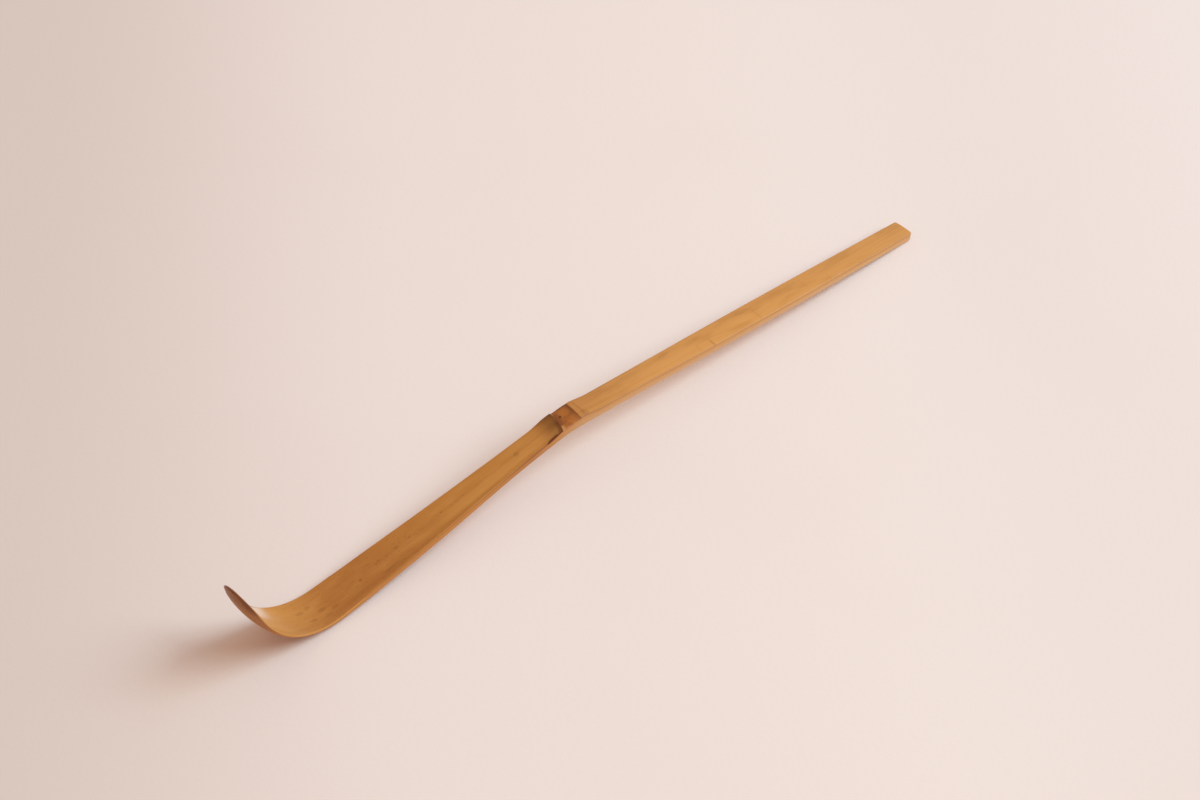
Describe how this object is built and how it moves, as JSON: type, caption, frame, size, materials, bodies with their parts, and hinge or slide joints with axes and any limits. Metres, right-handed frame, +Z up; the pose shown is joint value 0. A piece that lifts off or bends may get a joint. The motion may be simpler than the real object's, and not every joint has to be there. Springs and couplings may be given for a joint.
{
  "type": "chashaku tea scoop",
  "caption": "Slim bamboo strip with a heat-bent hollow scoop at one end and a growth node near its middle, for lifting powdered tea from a caddy into a bowl.",
  "frame": {"origin": "on the table, below the middle of the overall length and width, as the scoop lies face up", "axes": "+X along the strip from the scoop to the butt of the handle, +Y across to the far side, +Z up"},
  "size_m": [0.1802, 0.0097, 0.0206],
  "materials": {
    "bamboo": "satin bamboo skin on top, cut flesh at the sides and underneath",
    "ridge": "satin skin with a smoke-dark lip",
    "band": "blotchy red-brown, a little rough",
    "scar": "olive-brown, a little rough"
  },
  "bodies": {
    "root": {"scoop": "bamboo", "blade": "bamboo", "node_ridge": "ridge", "node_band": "band", "sheath_scar": "scar", "handle": "bamboo"}
  },
  "joints": []
}
